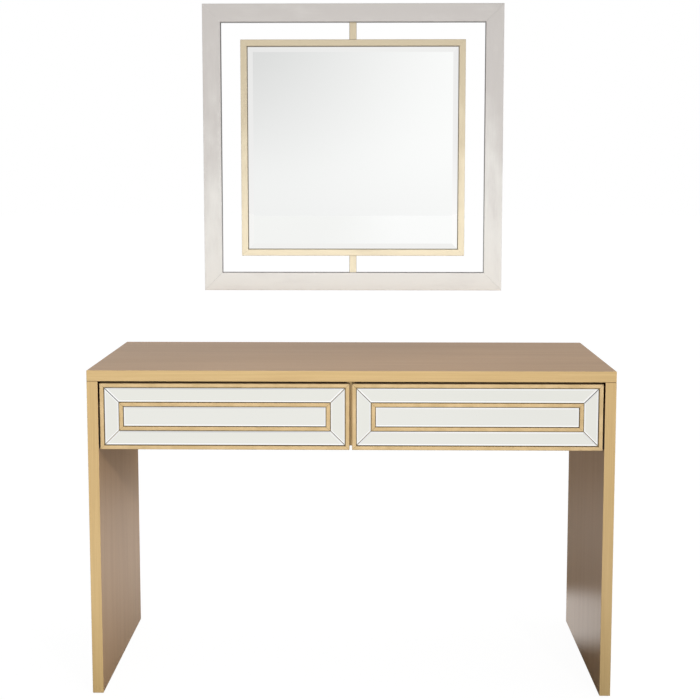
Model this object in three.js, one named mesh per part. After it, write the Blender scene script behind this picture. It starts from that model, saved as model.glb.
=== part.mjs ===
// Vanity table with two mirrored drawers, and the framed wall mirror that hangs above it.
// Millimetres, +Z up, +Y towards the wall. The origin is on the floor, at the centre of the footprint.
// The wall itself is left out: its face is the plane y = WALL_Y.

import * as THREE from "three";

// ---- driving dimensions -------------------------------------------------------------------------

const TABLE = { width: 1200, depth: 450, height: 762, board: 25 };
const FOOT = { height: 3, width: 15, inset: 10 }; // felt strip under each leg panel
const FRONT_Y = -TABLE.depth / 2;
const WALL_Y = TABLE.depth / 2;
const TOP_UNDER = TABLE.height - TABLE.board;
const LEG_INNER_X = TABLE.width / 2 - TABLE.board;

const FIT = 0.3; // gap between two pieces that touch
const ROUND_STEPS = 6; // flats to each rounded corner of a moulding
const FRONT = { height: 152, topGap: 5, sideGap: 4, middleGap: 6, board: 16 };
const RIM = { width: 10, depth: 7, round: 1.6, innerRound: 3.8 }; // raised edge round a drawer front
const BEAD = { width: 10.4, depth: 6.5, round: 3 }; // inner moulding, between the two fields of glass
const BORDER_WIDTH = 33; // from the rim to the bead, filled with strips of mirror
const DRAWER_GLASS = { thick: 4, bevel: 3, edge: 3.4, mitreGap: 1, gap: 0.8 };
const FACE_Y = FRONT_Y + RIM.depth; // face of the front board, which the rim, glass and bead lie on
const BOX_FRONT_Y = FACE_Y + FRONT.board; // back of the front board, where the drawer box starts

const CASE = { panel: 15, divider: 18, bottom: 585 }; // back panel and divider that the drawers run between
const BOX = { length: 350, side: 12, low: 600, high: 700, floorLow: 608, floor: 5 };
const RUNNER = { width: 12.5, length: 350, z: 650, metal: 1.2, setBack: 1 };

const MIRROR = { width: 772, height: 735, centreZ: 1271 };
const OUTER = { width: 46, depth: 24, round: 1.2 }; // silver frame
const INNER = { width: 579, height: 556, band: 16.5, depth: 16, setBack: 8, round: 1.2 };
const REBATE = { lip: 5.5, lipDepth: 5.5 }; // the ledge of the inner frame that the glass lies behind
const GLASS = { thick: 5, bevel: 20, edge: 3 };
const BACKING_THICK = 3;
const STRUT = { width: 18.5, depth: 8, round: 2.6 };
const WALL_GAP = 9; // room behind the mirror for its hanging rail
const HANGER = { length: 300, metal: 2, base: 14, hook: 10, hookOut: 4.6, tongueOut: 1.6 };
const BUMPER = { radius: 6, fromSide: 60, sides: 24 };

// ---- materials ----------------------------------------------------------------------------------

function finish(color, roughness, metalness) {
  return new THREE.MeshStandardMaterial({ color, roughness, metalness });
}

const goldPaint = finish("#d6b682", 0.42, 0.55);
const paleGold = finish("#dccfae", 0.4, 0.6);
const silverLeaf = finish("#d8d5cf", 0.4, 0.65);
const mirrorGlass = finish("#e8e8e6", 0.03, 1.0);
const birch = finish("#cbb08a", 0.6, 0.0);
const zincSteel = finish("#c4c7ca", 0.35, 1.0);
const felt = finish("#3a3431", 0.95, 0.0);
const rubber = finish("#d9d6d0", 0.6, 0.0);
const backerBoard = finish("#6b5645", 0.8, 0.0);

// ---- shapes -------------------------------------------------------------------------------------

// A box from its lowest corner to its highest one.
function boxBetween(low, high) {
  const size = high.map((v, i) => v - low[i]);
  const centre = high.map((v, i) => (v + low[i]) / 2);
  return new THREE.BoxGeometry(...size).translate(...centre);
}

// Outline of a w by d rectangle from (0, 0), with its two corners at d rounded. The far one is at x = w.
function frontRounded(w, d, nearRound, farRound = nearRound) {
  const outline = new THREE.Shape();
  outline.moveTo(0, 0);
  outline.lineTo(w, 0);
  roundCorners(outline, w, d, nearRound, farRound);
  return outline;
}

// Carries an outline up its side at x = w, across its front at y = d and down to its side at x = 0.
function roundCorners(outline, w, d, nearRound, farRound) {
  outline.lineTo(w, d - farRound);
  outline.absarc(w - farRound, d - farRound, farRound, 0, Math.PI / 2, false);
  outline.lineTo(nearRound, d);
  outline.absarc(nearRound, d - nearRound, nearRound, Math.PI / 2, Math.PI, false);
}

// The points of an outline, with no point twice.
function pointsOf(outline) {
  const points = outline.getPoints(ROUND_STEPS);
  return points.filter((p, i) => p.distanceTo(points[(i + 1) % points.length]) > 0.01);
}

// One straight rail of a mitred frame. The outline's x runs from the frame's outer edge inwards, and its y
// from the frame's back to its front. The rail lies along X above the frame's centre, which is the origin.
function mitredRail(alongSize, acrossSize, outline, gap) {
  const section = new THREE.Shape(pointsOf(outline));
  const g = new THREE.ExtrudeGeometry(section, { depth: 1, bevelEnabled: false });
  const p = g.attributes.position;
  for (let i = 0; i < p.count; i++) {
    const inwards = p.getX(i);
    const along = (1 - 2 * p.getZ(i)) * (alongSize / 2 - inwards - gap / 2);
    p.setXYZ(i, along, -p.getY(i), acrossSize / 2 - inwards);
  }
  return g;
}

// Four like pieces round a width by height frame. make gives the one above the centre, from its length and
// the frame's other size, and the rest are turned to their sides.
function fourSides(width, height, make) {
  return {
    top: make(width, height),
    right: make(height, width).rotateY(Math.PI / 2),
    bottom: make(width, height).rotateY(Math.PI),
    left: make(height, width).rotateY(-Math.PI / 2),
  };
}

function mitredRails(width, height, outline) {
  return fourSides(width, height, (along, across) => mitredRail(along, across, outline, FIT));
}

// A frame in one piece: the outline's points at each of the four corners, joined into a closed ring.
function jointedFrame(width, height, outline) {
  const points = pointsOf(outline);
  const n = points.length;
  const corners = [[1, 1], [1, -1], [-1, -1], [-1, 1]];
  const vertices = corners.flatMap(([sx, sz]) =>
    points.flatMap((p) => [sx * (width / 2 - p.x), -p.y, sz * (height / 2 - p.x)]),
  );
  const faces = [];
  for (let c = 0; c < 4; c++) {
    for (let i = 0; i < n; i++) {
      const here = c * n;
      const next = ((c + 1) % 4) * n;
      const j = (i + 1) % n;
      faces.push(here + i, next + j, here + j, here + i, next + i, next + j);
    }
  }
  const g = new THREE.BufferGeometry();
  g.setAttribute("position", new THREE.Float32BufferAttribute(vertices, 3));
  g.setIndex(faces);
  g.computeVertexNormals();
  return g;
}

// A closed channel or strip: an outline in X and Z, drawn out along Y.
function drawnAlongY(corners, yFrom, yTo) {
  const outline = new THREE.Shape(corners.map(([x, z]) => new THREE.Vector2(x, z)));
  return new THREE.ExtrudeGeometry(outline, { depth: yTo - yFrom, bevelEnabled: false })
    .rotateX(Math.PI / 2)
    .translate(0, yTo, 0);
}

// A four-sided sheet of glass with a bevel ground round its front. outline and inset give the corners of
// the sheet and of its flat face as [x, z], anticlockwise from the front. It lies from y = -thick to 0.
function bevelledSheet(outline, inset, thick, edge) {
  const ring = (corners, y) => corners.flatMap(([x, z]) => [x, y, z]);
  const vertices = [...ring(outline, 0), ...ring(outline, -edge), ...ring(inset, -thick)];
  const faces = [0, 2, 1, 0, 3, 2, 8, 9, 10, 8, 10, 11];
  for (const low of [0, 4]) {
    for (let i = 0; i < 4; i++) {
      const j = (i + 1) % 4;
      faces.push(low + i, low + j, low + 4 + j, low + i, low + 4 + j, low + 4 + i);
    }
  }
  const g = new THREE.BufferGeometry();
  g.setAttribute("position", new THREE.Float32BufferAttribute(vertices, 3));
  g.setIndex(faces);
  g.computeVertexNormals();
  return g;
}

// A rectangular sheet, centred on the origin.
function bevelledPanel(width, height, { thick, bevel, edge }) {
  const corners = (w, h) => [[-w, -h], [w, -h], [w, h], [-w, h]];
  return bevelledSheet(
    corners(width / 2, height / 2),
    corners(width / 2 - bevel, height / 2 - bevel),
    thick,
    edge,
  );
}

// One mitred strip of a border: it lies along X above the border's centre, which is the origin.
function bevelledStrip(alongSize, acrossSize, width, { thick, bevel, edge, mitreGap }) {
  const corners = (inset) => {
    const half = (inwards) => alongSize / 2 - inwards - (mitreGap / 2 + inset) * Math.SQRT2;
    const [near, far] = [inset, width - inset];
    const [top, bottom] = [acrossSize / 2 - near, acrossSize / 2 - far];
    return [[-half(far), bottom], [half(far), bottom], [half(near), top], [-half(near), top]];
  };
  return bevelledSheet(corners(0), corners(bevel), thick, edge);
}

function piece(name, geometry, material) {
  const mesh = new THREE.Mesh(geometry, material);
  mesh.name = name;
  return mesh;
}

// ---- table --------------------------------------------------------------------------------------

function tableCarcass() {
  const table = new THREE.Group();
  const add = (name, low, high, material = goldPaint) =>
    table.add(piece(name, boxBetween(low, high), material));
  const halfWidth = TABLE.width / 2;
  add("table_top", [-halfWidth, FRONT_Y, TOP_UNDER], [halfWidth, WALL_Y, TABLE.height]);
  for (const [side, sign] of [["left", -1], ["right", 1]]) {
    const middle = sign * (halfWidth - TABLE.board / 2);
    const panelX = [middle - TABLE.board / 2, middle + TABLE.board / 2];
    add(`${side}_leg_panel`, [panelX[0], FRONT_Y, FOOT.height], [panelX[1], WALL_Y, TOP_UNDER]);
    const footX = [middle - FOOT.width / 2, middle + FOOT.width / 2];
    const footY = [FRONT_Y + FOOT.inset, WALL_Y - FOOT.inset];
    add(`${side}_foot_strip`, [footX[0], footY[0], 0], [footX[1], footY[1], FOOT.height], felt);
  }
  const caseBack = WALL_Y - CASE.panel;
  add("back_panel", [-LEG_INNER_X, caseBack, CASE.bottom], [LEG_INNER_X, WALL_Y, TOP_UNDER]);
  const dividerHalf = CASE.divider / 2;
  const dividerFront = BOX_FRONT_Y + RUNNER.setBack;
  add("centre_divider", [-dividerHalf, dividerFront, CASE.bottom], [dividerHalf, caseBack, TOP_UNDER]);
  return table;
}

// ---- drawer runners -----------------------------------------------------------------------------

// Each runner is three channels, one inside the other: one screwed to the case, one that floats between, and
// one screwed to the drawer. web and reach are distances from the case wall towards the drawer: where the
// channel's flat back lies, and how far its flanges reach. half is half its height.
const CHANNELS = {
  case: { web: 0, reach: 10, half: 22.5, lip: 4 },
  middle: { web: 2.4, reach: 11, half: 17.3, lip: 3 },
  drawer: { web: RUNNER.width, reach: 4.6, half: 13.2, lip: 0 },
};

// Outline of a channel, open away from its web, with its flanges turned in by the lip.
function channelCorners({ web, reach, half, lip }) {
  const m = RUNNER.metal;
  const towards = Math.sign(reach - web);
  const inner = web + towards * m;
  const tip = reach - towards * m;
  const upper = [[web, half], [reach, half]];
  if (lip > 0) upper.push([reach, half - lip], [tip, half - lip], [tip, half - m]);
  else upper.push([reach, half - m]);
  upper.push([inner, half - m]);
  return [...upper, ...upper.map(([u, z]) => [u, -z]).reverse()];
}

// Adds the three channels of a runner on the wall at wallX. The drawer is on its +X side if sign is 1.
function addRunner(group, name, wallX, sign) {
  const front = BOX_FRONT_Y + RUNNER.setBack;
  for (const [part, channel] of Object.entries(CHANNELS)) {
    const corners = channelCorners(channel).map(([u, z]) => [wallX + sign * u, RUNNER.z + z]);
    const shape = drawnAlongY(corners, front, front + RUNNER.length);
    group.add(piece(`${name}_runner_${part}_channel`, shape, zincSteel));
  }
}

// ---- drawers ------------------------------------------------------------------------------------

const FRONT_WIDTH = LEG_INNER_X - FRONT.sideGap - FRONT.middleGap / 2;
const FRONT_CENTRE_X = FRONT.middleGap / 2 + FRONT_WIDTH / 2;
const FRONT_CENTRE_Z = TOP_UNDER - FRONT.topGap - FRONT.height / 2;

function drawerFront(side, centreX) {
  const front = new THREE.Group();
  const add = (name, geometry, material) =>
    front.add(piece(`${side}_drawer_${name}`, geometry.translate(centreX, 0, FRONT_CENTRE_Z), material));
  const halfWidth = FRONT_WIDTH / 2;
  const halfHeight = FRONT.height / 2;
  const board = boxBetween([-halfWidth, FACE_Y, -halfHeight], [halfWidth, BOX_FRONT_Y, halfHeight]);
  add("front_board", board, goldPaint);
  const rimOutline = frontRounded(RIM.width, RIM.depth, RIM.round, RIM.innerRound);
  const rim = jointedFrame(FRONT_WIDTH, FRONT.height, rimOutline);
  add("front_rim", rim.translate(0, FACE_Y, 0), goldPaint);

  const fieldWidth = FRONT_WIDTH - 2 * RIM.width;
  const fieldHeight = FRONT.height - 2 * RIM.width;
  const glassGap = 2 * DRAWER_GLASS.gap;
  const strips = fourSides(fieldWidth - glassGap, fieldHeight - glassGap, (along, across) =>
    bevelledStrip(along, across, BORDER_WIDTH - glassGap, DRAWER_GLASS),
  );
  for (const [place, geometry] of Object.entries(strips)) {
    add(`${place}_mirror_strip`, geometry.translate(0, FACE_Y, 0), mirrorGlass);
  }
  const beadWidth = fieldWidth - 2 * BORDER_WIDTH;
  const beadHeight = fieldHeight - 2 * BORDER_WIDTH;
  const bead = jointedFrame(beadWidth, beadHeight, frontRounded(BEAD.width, BEAD.depth, BEAD.round));
  add("inner_bead", bead.translate(0, FACE_Y, 0), goldPaint);
  const panelWidth = beadWidth - 2 * BEAD.width - glassGap;
  const panelHeight = beadHeight - 2 * BEAD.width - glassGap;
  const panel = bevelledPanel(panelWidth, panelHeight, DRAWER_GLASS);
  add("centre_mirror", panel.translate(0, FACE_Y, 0), mirrorGlass);
  return front;
}

function drawerBox(side, bayCentreX, bayWidth) {
  const box = new THREE.Group();
  const add = (name, low, high) =>
    box.add(piece(`${side}_drawer_${name}`, boxBetween(low, high).translate(bayCentreX, 0, 0), birch));
  const back = BOX_FRONT_Y + BOX.length;
  const outer = bayWidth / 2 - RUNNER.width;
  const inner = outer - BOX.side;
  add("left_side", [-outer, BOX_FRONT_Y, BOX.low], [-inner, back, BOX.high]);
  add("right_side", [inner, BOX_FRONT_Y, BOX.low], [outer, back, BOX.high]);
  const floorTop = BOX.floorLow + BOX.floor;
  add("bottom", [-inner, BOX_FRONT_Y, BOX.floorLow], [inner, back, floorTop]);
  add("back", [-inner, back - BOX.side, floorTop], [inner, back, BOX.high]);
  return box;
}

function drawerBays() {
  const bays = new THREE.Group();
  const bayWidth = LEG_INNER_X - CASE.divider / 2;
  const bayCentre = (LEG_INNER_X + CASE.divider / 2) / 2;
  for (const [side, sign] of [["left", -1], ["right", 1]]) {
    const centre = sign * bayCentre;
    bays.add(drawerFront(side, sign * FRONT_CENTRE_X));
    bays.add(drawerBox(side, centre, bayWidth));
    addRunner(bays, `${side}_bay_left`, centre - bayWidth / 2, 1);
    addRunner(bays, `${side}_bay_right`, centre + bayWidth / 2, -1);
  }
  return bays;
}

// ---- wall mirror --------------------------------------------------------------------------------

const FRAME_BACK_Y = WALL_Y - WALL_GAP;
const INNER_BACK_Y = FRAME_BACK_Y - OUTER.depth + INNER.setBack + INNER.depth;

// Section of the inner frame: a square bar with a ledge at the front that the glass lies behind.
function innerOutline() {
  const { band, depth, round } = INNER;
  const outline = new THREE.Shape();
  outline.moveTo(0, 0);
  outline.lineTo(band - REBATE.lip, 0);
  outline.lineTo(band - REBATE.lip, depth - REBATE.lipDepth);
  outline.lineTo(band, depth - REBATE.lipDepth);
  roundCorners(outline, band, depth, round, round);
  return outline;
}

function mirrorFrames() {
  const frames = new THREE.Group();
  const outerOutline = frontRounded(OUTER.width, OUTER.depth, OUTER.round);
  const outer = mitredRails(MIRROR.width, MIRROR.height, outerOutline);
  for (const [place, geometry] of Object.entries(outer)) {
    frames.add(piece(`outer_frame_${place}_rail`, geometry.translate(0, FRAME_BACK_Y, 0), silverLeaf));
  }
  const inner = mitredRails(INNER.width, INNER.height, innerOutline());
  for (const [place, geometry] of Object.entries(inner)) {
    frames.add(piece(`inner_frame_${place}_rail`, geometry.translate(0, INNER_BACK_Y, 0), paleGold));
  }
  const strutTo = MIRROR.height / 2 - OUTER.width - FIT;
  const strutFrom = INNER.height / 2 + FIT;
  const strutMiddle = (strutFrom + strutTo) / 2;
  for (const [place, sign] of [["top", 1], ["bottom", -1]]) {
    const bar = strut(strutTo - strutFrom).translate(0, 0, sign * strutMiddle);
    frames.add(piece(`${place}_strut`, bar, paleGold));
  }
  return frames;
}

// A flat bar that stands on end, its rounded face in line with the face of the inner frame.
function strut(length) {
  const points = pointsOf(frontRounded(STRUT.width, STRUT.depth, STRUT.round));
  const outline = new THREE.Shape(points.map((p) => new THREE.Vector2(p.x - STRUT.width / 2, -p.y)));
  const back = INNER_BACK_Y - INNER.depth + STRUT.depth;
  const bar = new THREE.ExtrudeGeometry(outline, { depth: length, bevelEnabled: false });
  return bar.translate(0, back, -length / 2);
}

function mirrorGlazing() {
  const glazing = new THREE.Group();
  const ledgeY = INNER_BACK_Y - INNER.depth + REBATE.lipDepth; // back of the ledge
  const sightWidth = INNER.width - 2 * (INNER.band - REBATE.lip) - 4 * FIT;
  const sightHeight = INNER.height - 2 * (INNER.band - REBATE.lip) - 4 * FIT;
  const glassBack = ledgeY + FIT + GLASS.thick;
  const boardFront = glassBack + FIT;
  const glass = bevelledPanel(sightWidth, sightHeight, GLASS);
  glazing.add(piece("mirror_glass", glass.translate(0, glassBack, 0), mirrorGlass));
  const board = boxBetween(
    [-sightWidth / 2, boardFront, -sightHeight / 2],
    [sightWidth / 2, boardFront + BACKING_THICK, sightHeight / 2],
  );
  glazing.add(piece("backing_board", board, backerBoard));
  return glazing;
}

// The hanging rail is two bent strips that hook together. Points are [out from the wall, up].
function hangerCorners() {
  const { metal, base, hook, hookOut, tongueOut } = HANGER;
  const hookTop = base + hook;
  const seat = hookTop + FIT;
  const tongueTip = base + 2 * FIT;
  const wallStrip = [
    [0, 0], [metal, 0], [metal, base - metal], [hookOut + metal, base - metal],
    [hookOut + metal, hookTop], [hookOut, hookTop], [hookOut, base], [0, base],
  ];
  const mirrorStrip = [
    [tongueOut, tongueTip], [tongueOut + metal, tongueTip], [tongueOut + metal, seat], [WALL_GAP, seat],
    [WALL_GAP, seat + base], [WALL_GAP - metal, seat + base], [WALL_GAP - metal, seat + metal],
    [tongueOut, seat + metal],
  ];
  return { wallStrip, mirrorStrip, height: seat + base };
}

// A strip of that section, lying along X behind the mirror's top rail.
function hangerStrip(corners, lowZ) {
  const outline = new THREE.Shape(corners.map(([out, up]) => new THREE.Vector2(-out, up)));
  const outAlongY = new THREE.Vector3(0, 1, 0);
  const upAlongZ = new THREE.Vector3(0, 0, 1);
  const lengthAlongX = new THREE.Vector3(1, 0, 0);
  return new THREE.ExtrudeGeometry(outline, { depth: HANGER.length, bevelEnabled: false })
    .translate(0, 0, -HANGER.length / 2)
    .applyMatrix4(new THREE.Matrix4().makeBasis(outAlongY, upAlongZ, lengthAlongX))
    .translate(0, WALL_Y, lowZ);
}

function mirrorBumper(sign) {
  return new THREE.CylinderGeometry(BUMPER.radius, BUMPER.radius, WALL_GAP, BUMPER.sides).translate(
    sign * (MIRROR.width / 2 - BUMPER.fromSide),
    WALL_Y - WALL_GAP / 2,
    (OUTER.width - MIRROR.height) / 2,
  );
}

function wallMirror() {
  const mirror = new THREE.Group();
  mirror.add(mirrorFrames(), mirrorGlazing());
  const { wallStrip, mirrorStrip, height } = hangerCorners();
  const lowZ = MIRROR.height / 2 - (OUTER.width + height) / 2;
  mirror.add(piece("mirror_hanging_rail", hangerStrip(mirrorStrip, lowZ), zincSteel));
  mirror.add(piece("wall_hanging_rail", hangerStrip(wallStrip, lowZ), zincSteel));
  mirror.add(piece("left_wall_bumper", mirrorBumper(-1), rubber));
  mirror.add(piece("right_wall_bumper", mirrorBumper(1), rubber));
  mirror.position.z = MIRROR.centreZ;
  return mirror;
}

// ---- the whole ----------------------------------------------------------------------------------

const vanity = new THREE.Group();
vanity.add(tableCarcass(), drawerBays(), wallMirror());

export default vanity;
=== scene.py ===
# Vanity table and its wall mirror: finishes, fittings and a small white studio.
import math

import bmesh
import bpy
from mathutils import Matrix, Vector


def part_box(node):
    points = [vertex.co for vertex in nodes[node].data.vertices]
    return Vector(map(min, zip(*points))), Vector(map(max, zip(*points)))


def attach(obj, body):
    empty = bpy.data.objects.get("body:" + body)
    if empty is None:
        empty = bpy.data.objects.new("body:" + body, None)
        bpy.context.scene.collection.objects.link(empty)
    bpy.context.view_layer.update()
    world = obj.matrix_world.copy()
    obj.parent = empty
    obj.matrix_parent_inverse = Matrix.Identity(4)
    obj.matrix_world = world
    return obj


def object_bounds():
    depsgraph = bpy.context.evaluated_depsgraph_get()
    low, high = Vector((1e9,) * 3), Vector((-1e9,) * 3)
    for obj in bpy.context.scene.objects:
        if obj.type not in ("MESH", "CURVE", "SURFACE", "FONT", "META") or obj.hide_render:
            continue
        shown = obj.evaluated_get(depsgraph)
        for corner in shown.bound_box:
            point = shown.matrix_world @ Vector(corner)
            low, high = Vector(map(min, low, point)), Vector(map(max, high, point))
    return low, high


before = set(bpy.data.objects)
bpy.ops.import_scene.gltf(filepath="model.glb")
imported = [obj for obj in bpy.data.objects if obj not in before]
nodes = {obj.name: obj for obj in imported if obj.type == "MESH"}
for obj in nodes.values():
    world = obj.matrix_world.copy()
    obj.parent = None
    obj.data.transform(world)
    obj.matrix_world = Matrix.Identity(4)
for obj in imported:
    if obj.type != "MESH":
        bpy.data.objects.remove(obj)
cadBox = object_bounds()
sides = ("left", "right")
mm = 0.001


# shader maths, written as maths: a wire is what comes out of a node
class Wire:
    def __init__(self, graph, socket):
        self.graph = graph
        self.socket = socket

    def math(self, operation, *others):
        return self.graph.node("ShaderNodeMath", {"operation": operation}, dict(enumerate([self, *others])))

    def __add__(self, other):
        return self.math("ADD", other)

    def __mul__(self, other):
        return self.math("MULTIPLY", other)

    def __sub__(self, other):
        return self.math("SUBTRACT", other)

    def __rsub__(self, other):
        return self.graph.node("ShaderNodeMath", {"operation": "SUBTRACT"}, {0: other, 1: self})

    def __pow__(self, other):
        return self.math("POWER", other)

    def __abs__(self):
        return self.math("ABSOLUTE")

    __radd__ = __add__
    __rmul__ = __mul__


class Graph:
    def __init__(self, tree):
        self.tree = tree

    # adds a node: its settings come first, then the values or wires of its sockets
    def node(self, kind, settings=None, sockets=None, output=0):
        made = self.tree.nodes.new(kind)
        for name, value in (settings or {}).items():
            setattr(made, name, value)
        for name, value in (sockets or {}).items():
            self.feed(self.find(made.inputs, name), value)
        return Wire(self, self.find(made.outputs, output))

    # a socket by its place, or by its name, among those in use
    def find(self, sockets, name):
        inUse = [s for s in sockets if s.enabled]
        return inUse[name] if isinstance(name, int) else next(s for s in inUse if s.name == name)

    def feed(self, socket, value):
        if isinstance(value, Wire):
            self.tree.links.new(value.socket, socket)
        else:
            socket.default_value = value

    def blend(self, mask, first, second):
        return self.node("ShaderNodeMix", {"data_type": "RGBA"}, {"Factor": mask, "A": first, "B": second})

    def stretch(self, vector, scale):
        return self.node("ShaderNodeVectorMath", {"operation": "MULTIPLY"}, {0: vector, 1: scale})

    def noise(self, vector, scale, detail=2.0, roughness=0.5):
        sockets = {"Vector": vector, "Scale": scale, "Detail": detail, "Roughness": roughness}
        return self.node("ShaderNodeTexNoise", {}, sockets, "Fac")

    # goes smoothly from start to end as the value goes from low to high
    def ease(self, value, low, high, start=0.0, end=1.0):
        sockets = {"Value": value, "From Min": low, "From Max": high, "To Min": start, "To Max": end}
        return self.node("ShaderNodeMapRange", {"interpolation_type": "SMOOTHSTEP"}, sockets)

    def part(self, vector, axis):
        return self.node("ShaderNodeSeparateXYZ", {}, {0: vector}, axis.upper())

    def apart(self, vector, place):
        return self.node("ShaderNodeVectorMath", {"operation": "DISTANCE"}, {0: vector, 1: place}, "Value")


class Finish(Graph):
    def __init__(self, name, constants):
        self.material = bpy.data.materials.new(name)
        self.material.use_nodes = True
        super().__init__(self.material.node_tree)
        self.shader = self.tree.nodes["Principled BSDF"]
        for socket, value in constants.items():
            self.shader.inputs[socket].default_value = value
        self.place = self.node("ShaderNodeTexCoord", output="Object")
        self.facing = self.node("ShaderNodeTexCoord", output="Normal")

    def paint(self, socket, wire):
        self.tree.links.new(wire.socket, self.shader.inputs[socket])

    def bump(self, height, distance, strength=1.0):
        sockets = {"Height": height, "Distance": distance, "Strength": strength}
        self.paint("Normal", self.node("ShaderNodeBump", {}, sockets))

    # scale that draws a pattern out along one axis
    def drawn(self, axis, length, width):
        return self.stretch(self.place, tuple(1 / length if a == axis else 1 / width for a in "xyz"))


# a colour as mixed, 0 to 255, made linear
def rgb(red, green, blue):
    channels = [c / 255 for c in (red, green, blue)]
    return tuple(c / 12.92 if c <= 0.04 else ((c + 0.055) / 1.055) ** 2.4 for c in channels) + (1.0,)


goldPaint = {
    "light": rgb(205, 175, 123), "dark": rgb(192, 161, 109), "fleck": rgb(226, 201, 156),
    "sideShadeLight": rgb(203, 163, 120), "sideShadeDark": rgb(189, 149, 106),
    "seam": rgb(104, 76, 42), "seamHeight": 1.1 * mm,
    "insideShade": rgb(52, 27, 13), "lip": 2.0 * mm, "blur": 0.3 * mm,  # painted shade, near-black, on the inside of the case behind the drawer fronts
    "metallic": 0.2, "roughness": 0.48, "brushDepth": 0.22 * mm,
    "coat": 0.8, "coatRoughness": 0.22, "coatIor": 1.45, "shine": 0.25,
    "brushLength": 170 * mm, "brushWidth": 2.4 * mm, "passLength": 600 * mm, "passWidth": 30 * mm,
    "cloudScale": 4.0, "fleckScale": 1400.0,
}
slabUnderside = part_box("table_top")[0].z
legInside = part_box("right_leg_panel")[0].x
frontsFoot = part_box("left_drawer_front_board")[0].z
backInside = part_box("back_panel")[0].y


# satin gold paint with the marks of the brush along one axis; the broad faces that don't look to the front
# are painted a browner, darker gold than the edges that do, as painted shade; paint lies dark in the joint
# between the top and the legs;
# the case behind the drawer fronts is painted near-black, without its coat, as painted shade
def makeGoldPaint(name, axis, shadeInside):
    paint = Finish(name, {"Metallic": goldPaint["metallic"], "Specular IOR Level": goldPaint["shine"],
                          "Coat Weight": goldPaint["coat"], "Coat Roughness": goldPaint["coatRoughness"],
                          "Coat IOR": goldPaint["coatIor"]})
    brushed = paint.drawn(axis, goldPaint["brushLength"], goldPaint["brushWidth"])
    streaks = paint.noise(brushed, 1.0, 4.0, 0.62)
    broad = paint.noise(paint.drawn(axis, goldPaint["passLength"], goldPaint["passWidth"]), 1.0, 2.0)
    clouds = paint.noise(paint.place, goldPaint["cloudScale"], 2.0)
    flecks = paint.noise(paint.place, goldPaint["fleckScale"], 1.0)
    tone = paint.ease(streaks * 0.55 + broad * 0.3 + clouds * 0.15, 0.34, 0.66)
    edges = paint.blend(tone, goldPaint["dark"], goldPaint["light"])
    # painted shade: faces that don't look to the front take the darker, browner gold
    faces = paint.blend(tone, goldPaint["sideShadeDark"], goldPaint["sideShadeLight"])
    body = paint.blend(paint.ease(abs(paint.part(paint.facing, "Y")), 0.3, 0.8), faces, edges)
    flecked = paint.blend(paint.ease(flecks, 0.6, 0.8) * 0.45, body, goldPaint["fleck"])
    fromJoint = abs(paint.part(paint.place, "Z") - slabUnderside)
    joint = paint.ease(fromJoint, goldPaint["seamHeight"] * 0.4, goldPaint["seamHeight"], 0.75, 0.0)
    colour = paint.blend(joint, flecked, goldPaint["seam"])
    # painted shade: the inside of the case behind the drawer fronts is painted near-black and loses its coat
    if shadeInside:
        blur, lip = goldPaint["blur"], cadBox[0].y + goldPaint["lip"]
        across, depth, height = (paint.part(paint.place, a) for a in "XYZ")
        insideShade = (paint.ease(abs(across), legInside + blur, legInside + blur * 2, 1.0, 0.0)
                * paint.ease(depth, lip, lip + blur)
                * paint.ease(depth, backInside + blur, backInside + blur * 2, 1.0, 0.0)
                * paint.ease(height, frontsFoot + blur, frontsFoot + blur * 2)
                * paint.ease(height, slabUnderside + blur, slabUnderside + blur * 2, 1.0, 0.0))
        colour = paint.blend(insideShade, colour, goldPaint["insideShade"])
        paint.paint("Coat Weight", (1 - insideShade) * goldPaint["coat"])
    paint.paint("Base Color", colour)
    paint.paint("Roughness", goldPaint["roughness"] + (streaks - 0.5) * 0.14 + (clouds - 0.5) * 0.1)
    paint.bump(streaks * 0.8 + flecks * 0.2, goldPaint["brushDepth"], 0.3)
    return paint.material


moulding = {
    "light": rgb(208, 180, 134), "dark": rgb(193, 165, 118), "hollowShade": rgb(84, 65, 35), "seam": rgb(84, 66, 40),
    "seamWidth": 0.35 * mm, "depth": 0.2 * mm, "roughness": 0.4, "coat": 0.2, "coatRoughness": 0.3,
    "cloudScale": 30.0,
}


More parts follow.
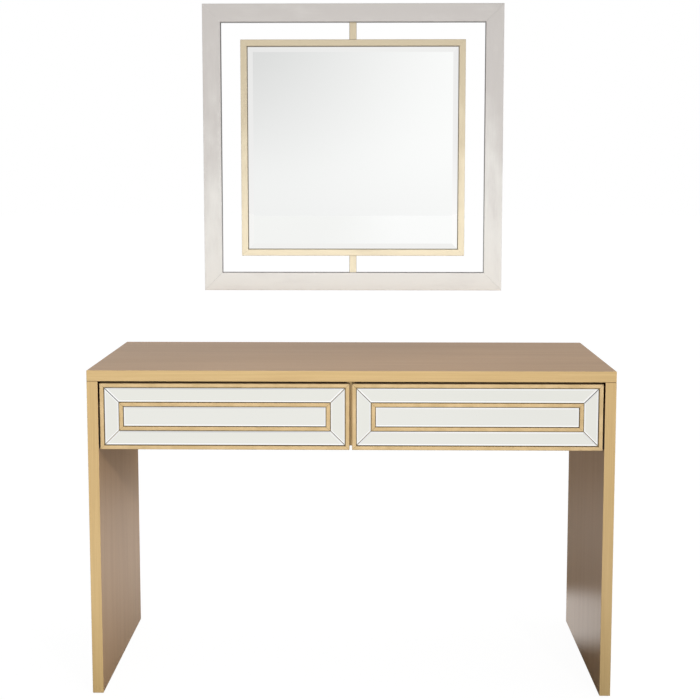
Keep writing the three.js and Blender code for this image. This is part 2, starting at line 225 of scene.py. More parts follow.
# gold mouldings of a drawer front: painted shade, a dark olive, on their sides that turn away from the front,
# and a fine seam across each mitred corner;
# the outward sides of the rim get no painted shade
def makeMoulding(name, side, unshadedOutside):
    low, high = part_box(side + "_drawer_front_board")
    trim = Finish(name, {"Metallic": goldPaint["metallic"], "Coat Weight": moulding["coat"],
                         "Coat Roughness": moulding["coatRoughness"]})
    middle = (low + high) / 2
    centre = trim.node("ShaderNodeVectorMath", {"operation": "SUBTRACT"}, {0: trim.place, 1: middle})
    fromSide = abs(trim.part(centre, "X")) - (high - low).x / 2
    fromEdge = abs(trim.part(centre, "Z")) - (high - low).z / 2
    width = moulding["seamWidth"]
    seam = trim.ease(abs(fromSide - fromEdge), width * 0.4, width * 1.4, 1.0, 0.0)
    # painted shade: the sides of the mouldings that turn away from the front go dark olive; the rim's outward
    # sides are spared
    hollow = trim.ease(abs(trim.part(trim.facing, "Y")), 0.5, 0.97, 1.0, 0.0)
    if unshadedOutside:
        outwards = [trim.part(trim.facing, axis) * trim.part(centre, axis).math("SIGN") for axis in "XZ"]
        hollow = hollow * trim.ease(outwards[0] + outwards[1], 0.0, 0.3, 1.0, 0.0)
    clouds = trim.noise(trim.place, moulding["cloudScale"], 3.0, 0.6)
    flecks = trim.noise(trim.place, goldPaint["fleckScale"], 1.0)
    body = trim.blend(trim.ease(clouds * 0.7 + flecks * 0.3, 0.35, 0.65), moulding["dark"], moulding["light"])
    shadedTrim = trim.blend(hollow * (0.85 + clouds * 0.2), body, moulding["hollowShade"])
    trim.paint("Base Color", trim.blend(seam, shadedTrim, moulding["seam"]))
    trim.paint("Roughness", moulding["roughness"] + (clouds - 0.5) * 0.12 + hollow * 0.12)
    trim.bump(flecks * 0.3 + clouds * 0.2 - seam, moulding["depth"], 0.4)
    return trim.material


leaf = {
    "silver": {"light": rgb(235, 233, 228), "dark": rgb(205, 200, 196), "side": rgb(120, 117, 116),
               "metallic": 0.65, "roughness": 0.4},
    "paleGold": {"light": rgb(244, 232, 203), "dark": rgb(208, 194, 166), "side": rgb(116, 100, 74),
                 "metallic": 0.55, "roughness": 0.4},
    "inside": 22 * mm,  # how far in from the frame's edge the sides carry painted shade
    "fade": 30 * mm, "paler": (-0.3, 0.24),  # from just under the top edge down to the foot
    "cloudLength": 120 * mm, "cloudWidth": 40 * mm, "markLength": 60 * mm, "markWidth": 1.6 * mm,
    "crinkleScale": 420.0, "depth": 0.16 * mm, "coat": 0.12, "coatRoughness": 0.35,
}


# leafed mirror frames: soft marks along each rail, paler towards the foot, and painted shade on the sides of
# the opening
def makeLeaf(name, kind, axis):
    tones = leaf[kind]
    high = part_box("outer_frame_top_rail")[1]
    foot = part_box("outer_frame_bottom_rail")[0].z
    skin = Finish(name, {"Metallic": tones["metallic"], "Coat Weight": leaf["coat"],
                         "Coat Roughness": leaf["coatRoughness"]})
    clouds = skin.noise(skin.drawn(axis, leaf["cloudLength"], leaf["cloudWidth"]), 1.0, 3.0, 0.55)
    marks = skin.noise(skin.drawn(axis, leaf["markLength"], leaf["markWidth"]), 1.0, 3.0, 0.6)
    crinkle = skin.noise(skin.place, leaf["crinkleScale"], 3.0, 0.6)
    height = skin.part(skin.place, "Z")
    paler = skin.ease(height, high.z - leaf["fade"], foot, *leaf["paler"])
    tone = paler + clouds * 0.75 + marks * 0.2 + crinkle * 0.05
    body = skin.blend(skin.ease(tone, 0.2, 0.8), tones["dark"], tones["light"])
    fromSide = abs(skin.part(skin.place, "X")) - high.x
    fromEdge = abs(height - (high.z + foot) / 2) - (high.z - foot) / 2
    # painted shade: the sides of the opening go dark
    inside = skin.ease(fromSide.math("MAXIMUM", fromEdge), -leaf["inside"], -leaf["inside"] / 2, 1.0, 0.0)
    sideways = skin.ease(abs(skin.part(skin.facing, "Y")), 0.3, 0.8, 1.0, 0.0)
    skin.paint("Base Color", skin.blend(inside * sideways * 0.85, body, tones["side"]))
    skin.paint("Roughness", tones["roughness"] + (clouds - 0.5) * 0.14)
    skin.bump(marks * 0.6 + crinkle * 0.4, leaf["depth"], 0.3)
    return skin.material


mirrorGlass = {
    "wall": rgb(251, 252, 251), "panel": rgb(244, 244, 239), "strip": rgb(243, 243, 237),
    "bevel": rgb(253, 253, 252), "ground": rgb(62, 58, 42), "mitreDarkReflection": rgb(132, 134, 128),
    "mitreWidth": 1.5 * mm, "polish": 0.01, "grind": 0.3, "hazeScale": 9.0,
}


# silvered glass: dull at its ground edge, which is dark brown as painted shade; the bevel is a little
# brighter as a painted highlight; the upright strips of a drawer front, whose box is given, have their mitred
# bevels painted darker next to the joint as a painted dark reflection
def makeMirror(name, flat, front=None):
    glass = Finish(name, {})
    outwards = abs(glass.part(glass.facing, "Y"))
    polished = glass.ease(outwards, 0.3, 0.6)
    haze = glass.noise(glass.place, mirrorGlass["hazeScale"], 3.0)
    # painted highlight: the bevel is silvered a little brighter than the flat face
    face = glass.blend(glass.ease(outwards, 0.9985, 0.9993), mirrorGlass["bevel"], flat)
    if front:
        centre, half = (front[0] + front[1]) / 2, (front[1] - front[0]) / 2
        fromMiddle = glass.part(glass.place, "X") - centre.x
        inwards = glass.part(glass.facing, "X") * fromMiddle.math("SIGN")
        slanted = abs(glass.part(glass.facing, "X") * glass.part(glass.facing, "Z"))
        # painted dark reflection: the mitred bevels next to the joint are silvered darker
        mitreDarkReflection = glass.ease(slanted, 0.004, 0.012) * glass.ease(inwards, -0.06, -0.02, 1.0, 0.0)
        fromJoint = abs(abs(fromMiddle) - abs(glass.part(glass.place, "Z") - centre.z) - (half.x - half.z))
        narrow = glass.ease(fromJoint, mirrorGlass["mitreWidth"], mirrorGlass["mitreWidth"] * 1.5, 1.0, 0.0)
        face = glass.blend(mitreDarkReflection * narrow, face, mirrorGlass["mitreDarkReflection"])
    # the ground edge: dull and unpolished, and dark brown as painted shade
    glass.paint("Base Color", glass.blend(polished, mirrorGlass["ground"], face))
    glass.paint("Metallic", polished)
    unpolished = (1 - polished) * mirrorGlass["grind"]
    glass.paint("Roughness", mirrorGlass["polish"] + glass.ease(haze, 0.5, 0.8) * 0.03 + unpolished)
    return glass.material


birch = {
    "light": rgb(221, 197, 158), "dark": rgb(200, 170, 128), "pore": rgb(160, 126, 88), "ply": 1.5 * mm,
    "grainLength": 350 * mm, "grainWidth": 9 * mm, "poreLength": 30 * mm, "poreWidth": 0.9 * mm,
    "roughness": 0.4, "depth": 0.2 * mm, "coat": 0.2, "coatRoughness": 0.25,
}


# lacquered birch plywood: grain along one axis, and the plies on edge through another
def makeBirch(name, axis, through):
    wood = Finish(name, {"Coat Weight": birch["coat"], "Coat Roughness": birch["coatRoughness"]})
    grain = wood.noise(wood.drawn(axis, birch["grainLength"], birch["grainWidth"]), 1.0, 6.0, 0.7)
    pores = wood.noise(wood.drawn(axis, birch["poreLength"], birch["poreWidth"]), 1.0)
    body = wood.blend(wood.ease(grain, 0.35, 0.7), birch["light"], birch["dark"])
    flat = wood.blend(wood.ease(pores, 0.6, 0.75) * 0.35, body, birch["pore"])
    layers = (wood.part(wood.place, through) * (math.pi / birch["ply"])).math("SINE")
    onEdge = wood.ease(abs(wood.part(wood.facing, through)), 0.3, 0.7, 1.0, 0.0)
    wood.paint("Base Color", wood.blend(onEdge * wood.ease(layers, -0.4, 0.4) * 0.7, flat, birch["pore"]))
    wood.paint("Roughness", birch["roughness"] + grain * 0.15)
    wood.bump(grain * 0.4 + pores * 0.6, birch["depth"], 0.3)
    return wood.material


zincSteel = {"light": rgb(208, 211, 214), "dark": rgb(172, 176, 181), "roughness": 0.3, "depth": 0.05 * mm,
             "drawnLength": 90 * mm, "drawnWidth": 1.1 * mm, "spangleScale": 160.0}


# zinc-plated steel, drawn along one axis, with a faint spangle
def makeSteel(name, axis):
    steel = Finish(name, {"Metallic": 1.0})
    drawn = steel.noise(steel.drawn(axis, zincSteel["drawnLength"], zincSteel["drawnWidth"]), 1.0, 3.0)
    spangle = steel.noise(steel.place, zincSteel["spangleScale"], 2.0)
    tone = steel.ease(drawn * 0.5 + spangle * 0.5, 0.35, 0.65)
    steel.paint("Base Color", steel.blend(tone, zincSteel["dark"], zincSteel["light"]))
    steel.paint("Roughness", zincSteel["roughness"] + (drawn - 0.5) * 0.2)
    steel.bump(drawn, zincSteel["depth"], 0.4)
    return steel.material


footFelt = {"light": rgb(74, 66, 60), "dark": rgb(38, 33, 30), "fuzzScale": 900.0, "depth": 0.5 * mm,
            "roughness": 0.88, "sheen": 0.4, "sheenRoughness": 0.5}


def makeFelt(name):
    felt = Finish(name, {"Sheen Weight": footFelt["sheen"], "Sheen Roughness": footFelt["sheenRoughness"]})
    fuzz = felt.noise(felt.place, footFelt["fuzzScale"], 4.0, 0.7)
    felt.paint("Base Color", felt.blend(fuzz, footFelt["dark"], footFelt["light"]))
    felt.paint("Roughness", footFelt["roughness"] + fuzz * 0.1)
    felt.bump(fuzz, footFelt["depth"], 0.8)
    return felt.material


bumperRubber = {"light": rgb(228, 226, 221), "dark": rgb(206, 204, 198), "grainScale": 500.0,
                "depth": 0.1 * mm, "roughness": 0.45, "milky": 0.2, "milkDepth": 3 * mm}


def makeRubber(name):
    rubber = Finish(name, {"Subsurface Weight": bumperRubber["milky"],
                           "Subsurface Scale": bumperRubber["milkDepth"]})
    grain = rubber.noise(rubber.place, bumperRubber["grainScale"], 2.0)
    rubber.paint("Base Color", rubber.blend(grain, bumperRubber["dark"], bumperRubber["light"]))
    rubber.paint("Roughness", bumperRubber["roughness"] + grain * 0.2)
    rubber.bump(grain, bumperRubber["depth"], 0.3)
    return rubber.material


brownBoard = {"light": rgb(139, 111, 86), "dark": rgb(96, 74, 56), "fibreScale": 420.0, "patchScale": 14.0,
              "depth": 0.25 * mm, "roughness": 0.66, "shine": 0.3}


def makeHardboard(name):
    board = Finish(name, {"Specular IOR Level": brownBoard["shine"]})
    fibre = board.noise(board.place, brownBoard["fibreScale"], 6.0, 0.75)
    patch = board.noise(board.place, brownBoard["patchScale"], 3.0)
    tone = board.ease(fibre * 0.75 + patch * 0.25, 0.3, 0.7)
    board.paint("Base Color", board.blend(tone, brownBoard["dark"], brownBoard["light"]))
    board.paint("Roughness", brownBoard["roughness"] + fibre * 0.2)
    board.bump(fibre, brownBoard["depth"], 0.5)
    return board.material


caseGold = {axis: makeGoldPaint("case_gold_brushed_along_" + axis, axis, True) for axis in "xz"}
gold = {axis: makeGoldPaint("gold_paint_brushed_along_" + axis, axis, False) for axis in "xy"}
silver = {axis: makeLeaf("silver_leaf_along_" + axis, "silver", axis) for axis in "xz"}
paleGold = {axis: makeLeaf("pale_gold_leaf_along_" + axis, "paleGold", axis) for axis in "xz"}
rimGold = {side: makeMoulding(side + "_rim_gold", side, True) for side in sides}
beadGold = {side: makeMoulding(side + "_bead_gold", side, False) for side in sides}
wallGlass = makeMirror("wall_mirror_glass", mirrorGlass["wall"])
panelGlass = makeMirror("drawer_panel_glass", mirrorGlass["panel"])
stripGlass = {side: makeMirror(side + "_drawer_strip_glass", mirrorGlass["strip"],
                               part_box(side + "_drawer_front_board")) for side in sides}
birchSide = makeBirch("birch_side", "y", "x")
birchBack = makeBirch("birch_back", "x", "y")
birchFloor = makeBirch("birch_floor", "x", "z")
runnerSteel = makeSteel("runner_steel", "y")
railSteel = makeSteel("rail_steel", "x")
felt = makeFelt("brown_felt")
rubber = makeRubber("clear_rubber")
hardboard = makeHardboard("hardboard")

wornBy = {  # the end of a part's name, and its finish; the first that fits is used
    "table_top": caseGold["x"], "back_panel": caseGold["x"], "leg_panel": caseGold["z"],
    "centre_divider": gold["y"], "foot_strip": felt, "wall_bumper": rubber, "backing_board": hardboard,
    "hanging_rail": railSteel, "channel": runnerSteel, "mirror_glass": wallGlass, "centre_mirror": panelGlass,
    "front_board": gold["x"], "strut": paleGold["z"], "_side": birchSide, "drawer_back": birchBack,
    "drawer_bottom": birchFloor,
}
for side in sides:
    wornBy[side + "_drawer_front_rim"] = rimGold[side]
    wornBy[side + "_drawer_inner_bead"] = beadGold[side]
    for place in ("top", "bottom", "left", "right"):
        wornBy[side + "_drawer_" + place + "_mirror_strip"] = stripGlass[side]
for frameName, skins in (("outer_frame", silver), ("inner_frame", paleGold)):
    for place, axis in (("top", "x"), ("bottom", "x"), ("left", "z"), ("right", "z")):
        wornBy[frameName + "_" + place + "_rail"] = skins[axis]


def wear(node, material):
    mesh = nodes[node].data
    mesh.materials.clear()
    mesh.materials.append(material)


for node in nodes:
    wear(node, next(skin for ending, skin in wornBy.items() if node.endswith(ending)))
print("finishes on")


edgeRound = {"table_top": 1.0 * mm, "leg_panel": 0.9 * mm, "back_panel": 0.8 * mm, "centre_divider": 0.5 * mm,
             "drawer_left_side": 0.7 * mm, "drawer_right_side": 0.7 * mm, "drawer_back": 0.6 * mm,
             "front_board": 0.3 * mm, "backing_board": 0.3 * mm, "foot_strip": 0.6 * mm}
roundedParts = ("rim", "bead", "rail", "strut", "bumper")
weldReach, creaseAngle = 0.01 * mm, math.radians(28)


def addModifier(piece, kind, **settings):
    made = piece.modifiers.new(kind.lower(), kind)
    for name, value in settings.items():
        setattr(made, name, value)


for node, piece in nodes.items():
    radius = next((r for ending, r in edgeRound.items() if node.endswith(ending)), None)
    if radius:
        addModifier(piece, "WELD", merge_threshold=weldReach)
        addModifier(piece, "BEVEL", width=radius, segments=3, limit_method="ANGLE")
    elif node.endswith(roundedParts) and "hanging" not in node:
        addModifier(piece, "WELD", merge_threshold=weldReach)
        addModifier(piece, "EDGE_SPLIT", split_angle=creaseAngle)
    if node.endswith(roundedParts):
        piece.data.polygons.foreach_set("use_smooth", [True] * len(piece.data.polygons))
print("edges softened")


screw = {
    "radius": 3.2 * mm, "height": 1.5 * mm, "steps": 20,
    "profile": [(1.0, 0.0), (1.0, 0.35), (0.9, 0.72), (0.72, 0.95), (0.6, 1.0)],  # out and up, as shares
    "armLength": 1.7 * mm, "armWidth": 0.62 * mm, "recess": 0.8 * mm, "taper": 0.8,
}


# one pan-headed screw with a cross recess, standing on the plane z = 0
def addScrew(mesh, stand):
    steps = screw["steps"]
    rings = []
    for out, up in screw["profile"]:
        ring = []
        for i in range(steps):
            turn = 2 * math.pi * i / steps
            reach = out * screw["radius"]
            place = Vector((reach * math.cos(turn), reach * math.sin(turn), up * screw["height"]))
            ring.append(mesh.verts.new(stand @ place))
        rings.append(ring)
    for lower, upper in zip(rings, rings[1:]):
        for i in range(steps):
            j = (i + 1) % steps
            mesh.faces.new((lower[i], lower[j], upper[j], upper[i])).smooth = True
    mesh.faces.new(list(reversed(rings[0])))
    long, wide = screw["armLength"], screw["armWidth"]
    quarter = [(long, -wide), (long, wide), (wide, wide)]
    cross = []
    for turn in range(4):
        for x, y in quarter:
            for _ in range(turn):
                x, y = -y, x
            cross.append((x, y))
    rim = [mesh.verts.new(stand @ Vector((x, y, screw["height"]))) for x, y in cross]
    taper, depth = screw["taper"], screw["height"] - screw["recess"]
    bed = [mesh.verts.new(stand @ Vector((x * taper, y * taper, depth))) for x, y in cross]
    count = len(cross)
    for i in range(count):
        mesh.faces.new((rim[i], rim[(i + 1) % count], bed[(i + 1) % count], bed[i]))
    mesh.faces.new(bed)
    outer = [mesh.edges.get((rings[-1][i], rings[-1][(i + 1) % steps])) for i in range(steps)]
    inner = [mesh.edges.get((rim[i], rim[(i + 1) % count])) for i in range(count)]
    bmesh.ops.triangle_fill(mesh, edges=outer + inner, use_beauty=True)


# a flat plate: its outline in the plane z = 0, raised by thick
def addPlate(mesh, stand, outline, thick):
    low = [mesh.verts.new(stand @ Vector((x, y, 0))) for x, y in outline]
    high = [mesh.verts.new(stand @ Vector((x, y, thick))) for x, y in outline]
    mesh.faces.new(list(reversed(low)))
    mesh.faces.new(high)
    for i in range(len(outline)):
        j = (i + 1) % len(outline)
        mesh.faces.new((low[i], low[j], high[j], high[i]))


def addBall(mesh, centre, radius):
    made = bmesh.ops.create_icosphere(mesh, subdivisions=2, radius=radius, matrix=Matrix.Translation(centre))
    for face in {f for v in made["verts"] for f in v.link_faces}:
        face.smooth = True


def makePiece(name, body, material, fill, bevel=0.0):
    mesh = bmesh.new()
    fill(mesh)
    bmesh.ops.recalc_face_normals(mesh, faces=mesh.faces)
    data = bpy.data.meshes.new(name)
    mesh.to_mesh(data)
    mesh.free()
    data.materials.append(material)
    piece = bpy.data.objects.new(name, data)
    bpy.context.scene.collection.objects.link(piece)
    if bevel:
        addModifier(piece, "BEVEL", width=bevel, segments=2, limit_method="ANGLE",
                    angle_limit=math.radians(50))
    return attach(piece, body)


# a stand at a place, its up pointing along facing
def standAt(place, facing):
    return Matrix.Translation(place) @ Vector(facing).to_track_quat("Z", "Y").to_matrix().to_4x4()


cage = {
    "length": 100 * mm, "metal": 0.7 * mm, "pitch": 14 * mm, "tip": 0.7,
    "outer": {"centre": 60 * mm, "web": 1.5 * mm, "row": 19.3 * mm,
              "ballOut": 5.6 * mm, "ball": 1.85 * mm},
    "inner": {"centre": -110 * mm, "web": 3.9 * mm, "row": 14.65 * mm,
              "ballOut": 7.4 * mm, "ball": 1.35 * mm},
}


# a ball cage: a folded strip with a row of balls in each of its two flanges
def addCage(mesh, wallX, sign, facts, middleZ):
    start, end = facts["centre"] - cage["length"] / 2, facts["centre"] + cage["length"] / 2
    half, row = cage["metal"] / 2, facts["row"]
    tip = facts["ballOut"] + facts["ball"] * cage["tip"]
    web, bend = facts["web"], facts["web"] + cage["metal"]
    outline = [(web, -row - half), (tip, -row - half), (tip, -row + half), (bend, -row + half),
               (bend, row - half), (tip, row - half), (tip, row + half), (web, row + half)]
    rings = [[mesh.verts.new((wallX + sign * out, y, middleZ + up)) for out, up in outline]
             for y in (start, end)]
    for i in range(len(outline)):
        j = (i + 1) % len(outline)
        mesh.faces.new((rings[0][i], rings[0][j], rings[1][j], rings[1][i]))
    for ring in rings:
        mesh.faces.new(ring)
    for side in (-1, 1):
        count = int(cage["length"] / cage["pitch"])
        for i in range(count):
            y = facts["centre"] + (i - (count - 1) / 2) * cage["pitch"]
            addBall(mesh, (wallX + sign * facts["ballOut"], y, middleZ + side * row), facts["ball"])


for bay in sides:
    for side, sign in zip(sides, (1, -1)):
        name = bay + "_bay_" + side + "_runner"
        low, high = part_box(name + "_case_channel")
        wallX = low.x if sign == 1 else high.x
        for row in ("outer", "inner"):
            fill = lambda mesh: addCage(mesh, wallX, sign, cage[row], (low.z + high.z) / 2)
            body = bay + "_runner_middles"
            makePiece(name + "_" + row + "_ball_cage", body, runnerSteel, fill)

hangingScrews = {"spacing": 110 * mm, "wallUp": 6 * mm, "mirrorDown": 6.6 * mm, "metal": 2 * mm}
wallRail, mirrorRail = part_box("wall_hanging_rail"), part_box("mirror_hanging_rail")
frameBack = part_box("outer_frame_top_rail")[1].y


def addScrewRow(mesh, y, z, facing):
    for i in (-1, 0, 1):
        addScrew(mesh, standAt((i * hangingScrews["spacing"], y, z), facing))


makePiece("wall_rail_screws", "table", railSteel, lambda mesh: addScrewRow(
    mesh, wallRail[1].y - hangingScrews["metal"], wallRail[0].z + hangingScrews["wallUp"], (0, -1, 0)))
makePiece("mirror_rail_screws", "mirror", railSteel, lambda mesh: addScrewRow(
    mesh, frameBack + hangingScrews["metal"], mirrorRail[1].z - hangingScrews["mirrorDown"], (0, 1, 0)))

cornerPlate = {"arm": 40 * mm, "width": 15 * mm, "inset": 15.5 * mm, "thick": 1.2 * mm, "bevel": 0.3 * mm}
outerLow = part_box("outer_frame_bottom_rail")[0]
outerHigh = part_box("outer_frame_top_rail")[1]
mirrorCentre = (outerLow + outerHigh) / 2
halfWidth, halfHeight = (outerHigh.x - outerLow.x) / 2, (outerHigh.z - outerLow.z) / 2


# flat steel angles across the mitres at the back of the outer frame
def addCornerPlates(mesh):
    arm, width, inset = cornerPlate["arm"], cornerPlate["width"], cornerPlate["inset"]
    angle = [(0, 0), (arm, 0), (arm, width), (width, width), (width, arm), (0, arm)]
    for sx in (-1, 1):
        for sz in (-1, 1):
            x, z = mirrorCentre.x + sx * (halfWidth - inset), mirrorCentre.z + sz * (halfHeight - inset)
            turned = Matrix(((-sx, 0, 0, 0), (0, 0, 1, 0), (0, -sz, 0, 0), (0, 0, 0, 1)))
            stand = Matrix.Translation((x, frameBack, z)) @ turned
            addPlate(mesh, stand, angle, cornerPlate["thick"])


def addCornerScrews(mesh):
    inset, near = cornerPlate["inset"], cornerPlate["width"] / 2
    far = cornerPlate["arm"] - near
    for sx in (-1, 1):
        for sz in (-1, 1):
            for along, across in ((far, near), (near, far), (near, near)):
                x = mirrorCentre.x + sx * (halfWidth - inset - along)
                z = mirrorCentre.z + sz * (halfHeight - inset - across)
                addScrew(mesh, standAt((x, frameBack + cornerPlate["thick"], z), (0, 1, 0)))


makePiece("mirror_corner_plates", "mirror", railSteel, addCornerPlates, cornerPlate["bevel"])
makePiece("mirror_corner_screws", "mirror", railSteel, addCornerScrews)

glazingTab = {"width": 11 * mm, "reach": 12 * mm, "metal": 0.6 * mm, "spacing": 170 * mm, "gap": 0.1 * mm,
              "shoulder": 0.55, "nose": 0.45, "bevel": 0.15 * mm}
boardLow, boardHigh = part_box("backing_board")


# thin steel tabs driven into the inner frame, which hold the glass and its board in
def addGlazingTabs(mesh):
    half, reach = glazingTab["width"] / 2, glazingTab["reach"]
    shoulder, nose = reach * glazingTab["shoulder"], half * glazingTab["nose"]
    outline = [(-half, 0), (half, 0), (half, shoulder), (nose, reach), (-nose, reach), (-half, shoulder)]
    y = boardHigh.y + glazingTab["gap"]
    width, height = boardHigh.x - mirrorCentre.x, boardHigh.z - mirrorCentre.z
    for turn, edge in ((0, height), (90, width), (180, height), (270, width)):
        for i in (-1, 0, 1):
            place = Vector((i * glazingTab["spacing"], y, -edge))
            spin = Matrix.Rotation(math.radians(turn), 4, "Y")
            flat = Matrix(((1, 0, 0, 0), (0, 0, 1, 0), (0, 1, 0, 0), (0, 0, 0, 1)))
            shift = Matrix.Translation((mirrorCentre.x, 0, mirrorCentre.z))
            addPlate(mesh, shift @ spin @ Matrix.Translation(place) @ flat, outline, glazingTab["metal"])


makePiece("mirror_glazing_tabs", "mirror", railSteel, addGlazingTabs, glazingTab["bevel"])
print("fittings made")


camera = {"place": (0.034, -2.814, 1.207), "turnLeft": 0.79, "tiltDown": 5.26, "lens": 59.6, "shift": -0.10}
lens = bpy.data.cameras.new("camera")
lens.sensor_width = 36
lens.lens = camera["lens"]
lens.shift_y = camera["shift"]
eye = bpy.data.objects.new("camera", lens)
eye.location = camera["place"]
eye.rotation_euler = (math.radians(90 - camera["tiltDown"]), 0, math.radians(camera["turnLeft"]))
bpy.context.scene.collection.objects.link(eye)
bpy.context.scene.camera = eye
bpy.context.scene.view_settings.view_transform = "Standard"

floor = {
    "size": 60.0, "paper": rgb(62, 62, 61), "mottle": rgb(58, 58, 58), "mottleScale": 3.0,
    "near": rgb(254, 254, 254), "front": rgb(244, 244, 243), "far": rgb(252, 252, 252), "glow": 0.97,
    # reflected: how far back the floor is dark, what stays of its glow, and the two pale patches on it
    "darkFrom": (-0.9, -0.4), "darkTo": (2.8, 4.0), "behind": 0.02, "patchCore": 0.1,
    "leftPatch": (-0.5, 0.9, 0.0), "leftLevel": 0.45, "leftReach": 1.3,
    "rightPatch": (0.53, 0.27, 0.0), "rightLevel": 0.8, "rightReach": 0.27,
    "asideLoss": 0.03, "farLoss": 0.04,  # reflected: a little less on the right, and a little less far off
}
half = floor["size"] / 2
corners = [(-half, -half, 0), (half, -half, 0), (half, half, 0), (-half, half, 0)]
floorMesh = bpy.data.meshes.new("floor")
floorMesh.from_pydata(corners, [], [(0, 1, 2, 3)])
floorPiece = bpy.data.objects.new("floor", floorMesh)
bpy.context.scene.collection.objects.link(floorPiece)

# white paper with a light under it; the glow is for the eye and for polished faces, which see it darker
# behind the table
paper = Finish("floor", {"Roughness": 0.6, "Specular IOR Level": 0.1, "Emission Strength": 1.0})
sideways, forward = paper.part(paper.place, "X"), paper.part(paper.place, "Y")
away = paper.apart(paper.place, (0, 0, 0))
mottle = paper.noise(paper.place, floor["mottleScale"], 3.0)
softRay = paper.node("ShaderNodeLightPath", output="Is Diffuse Ray")
glossRay = paper.node("ShaderNodeLightPath", output="Is Glossy Ray")
patches = floor["behind"]
for side in sides:
    fromPatch = paper.apart(paper.place, floor[side + "Patch"])
    reach, level = floor[side + "Reach"], floor[side + "Level"]
    patches = paper.ease(fromPatch, floor["patchCore"], reach, level, 0.0) + patches
dark = paper.ease(forward, *floor["darkFrom"]) * paper.ease(forward, *floor["darkTo"], 1.0, 0.0)
behind = glossRay * dark * (1 - patches.math("MINIMUM", 1.0))
onRight = paper.ease(sideways, 0.1, 1.0) * paper.ease(away, 1.5, 2.5)
aside = glossRay * onRight * paper.ease(away, 5.0, 8.0, floor["asideLoss"], 0.0)
farOff = glossRay * paper.ease(away, 2.0, 3.2) * floor["farLoss"]
glow = (1 - softRay) * (1 - behind) * (1 - aside) * (1 - farOff) * floor["glow"]
paper.paint("Base Color", paper.blend(mottle, floor["paper"], floor["mottle"]))
farRight = paper.ease(away, 4.5, 7.0) * paper.ease(sideways, -1.0, 1.0)
front = paper.blend(farRight, floor["front"], floor["far"])
inFront = glossRay * paper.ease(forward, -2.6, -1.5, 1.0, 0.0)
white = paper.blend(inFront, floor["near"], front)
paper.paint("Emission Color", paper.blend(glow, rgb(0, 0, 0), white))
floorMesh.materials.append(paper.material)

lights = {  # a small lamp high on the right, and a broad one beside the eye that falls off at the right foot
    "key": {"place": (1.6, -3.4, 2.42), "aim": (0, 0, 0.6), "radius": 0.12, "watts": 215,
            "cone": 60, "blend": 1.0},
    "front": {"place": (-0.3, -4.5, 1.3), "aim": (-0.35, 0, 0.9), "radius": 0.4, "watts": 390,
              "cone": 35, "blend": 0.55},
}


def addLight(name, facts):
    lamp = bpy.data.lights.new(name, "SPOT")
    lamp.shadow_soft_size = facts["radius"]
    lamp.spot_size = math.radians(facts["cone"])
    lamp.spot_blend = facts["blend"]
    lamp.energy = facts["watts"]
    piece = bpy.data.objects.new(name, lamp)
    piece.location = facts["place"]
    backwards = Vector(facts["place"]) - Vector(facts["aim"])
    piece.rotation_euler = backwards.to_track_quat("Z", "Y").to_euler()
    piece.visible_camera = piece.visible_glossy = False
    bpy.context.scene.collection.objects.link(piece)


for name, facts in lights.items():
    addLight(name, facts)

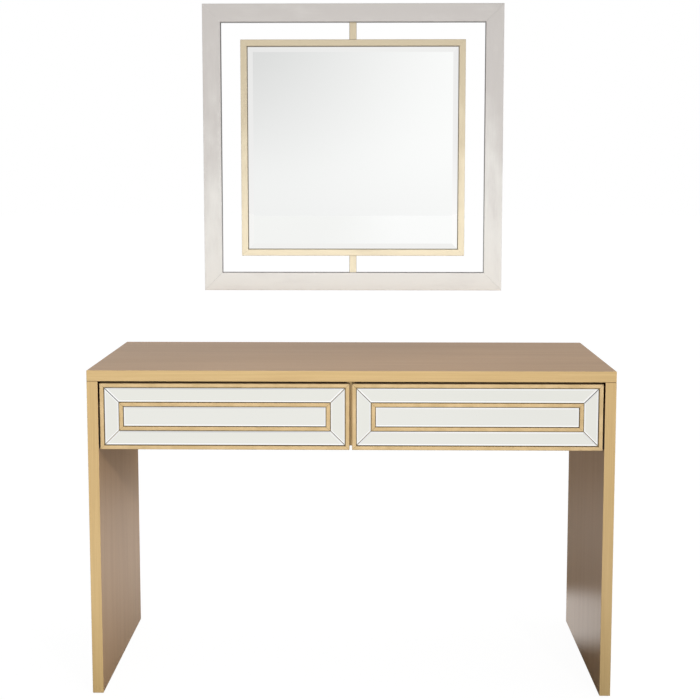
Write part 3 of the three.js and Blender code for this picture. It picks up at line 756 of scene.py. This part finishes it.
room = {
    "white": 1.0,  # what the eye sees
    # what polished faces see: the wall in front, with a duller corner, a duller right and a duller foot
    "patch": 1.0, "corner": 0.72, "right": 0.88, "low": 0.88,
    "cornerToward": (-0.13, -0.98, 0.14), "lowToward": (0.05, -0.998, -0.05),
    "horizonLeft": 0.905, "horizonRight": 0.965, "backLeft": 0.42, "backRight": 0.32, "overhead": 0.2,
    # what lights the rest, and how closely it keeps to its direction
    "lightBase": 0.03, "lightFront": 1.9, "frontFocus": 8, "lightBack": 1.4, "backFocus": 4,
    "lightRight": 1.7, "lightTop": 1.8, "topFocus": 8,
    "brightest": 4.0,
}
sky = bpy.data.worlds.new("studio")
sky.use_nodes = True
bpy.context.scene.world = sky
studio = Graph(sky.node_tree)
background = sky.node_tree.nodes["Background"]
direction = studio.node("ShaderNodeTexCoord", output="Generated")
across, depth, height = (studio.part(direction, axis) for axis in "XYZ")

# pale walls for polished faces to reflect
fromCorner = studio.apart(direction, room["cornerToward"])
cornerShade = studio.ease(fromCorner, 0.0, 0.24, room["corner"], room["patch"])
rightShade = studio.ease(across, 0.16, 0.34, 1.0, room["right"])
lowShade = studio.ease(studio.apart(direction, room["lowToward"]), 0.15, 0.38, 1.0, room["low"])
frontWall = cornerShade * rightShade * lowShade
aboveFloor = studio.ease(height, -0.045, 0.03)
horizon = studio.ease(across, -0.1, 0.1, room["horizonLeft"], room["horizonRight"])
frontLow = frontWall * aboveFloor + (1 - aboveFloor) * horizon
frontTop = studio.ease(height, 0.32, 0.8)
backTop = studio.ease(height, 0.22, 0.6)
isBack = studio.ease(depth, -0.25, 0.05)
frontSeen = frontLow * (1 - frontTop) + frontTop * room["overhead"]
backWall = studio.ease(across, -0.3, 0.3, room["backLeft"], room["backRight"])
backSeen = (1 - backTop) * backWall + backTop * room["overhead"]
seen = frontSeen * (1 - isBack) + backSeen * isBack

# soft light, mostly from the front and the right, with some from above and behind
ahead = (0 - depth).math("MAXIMUM", 0.0) ** room["frontFocus"]
backwards = depth.math("MAXIMUM", 0.0) ** room["backFocus"]
rightwards = across.math("MAXIMUM", 0.0)
overhead = height.math("MAXIMUM", 0.0) ** room["topFocus"]
given = (room["lightBase"] + ahead * room["lightFront"] + backwards * room["lightBack"]
         + rightwards * room["lightRight"] + overhead * room["lightTop"])
softRay = studio.node("ShaderNodeLightPath", output="Is Diffuse Ray")
eyeRay = studio.node("ShaderNodeLightPath", output="Is Camera Ray")
level = eyeRay * room["white"] + (1 - eyeRay) * (given * softRay + seen * (1 - softRay))
share = level * (1 / room["brightest"])
studio.feed(background.inputs["Color"], studio.blend(share, rgb(0, 0, 0), rgb(255, 255, 255)))
background.inputs["Strength"].default_value = room["brightest"]
print("studio ready")
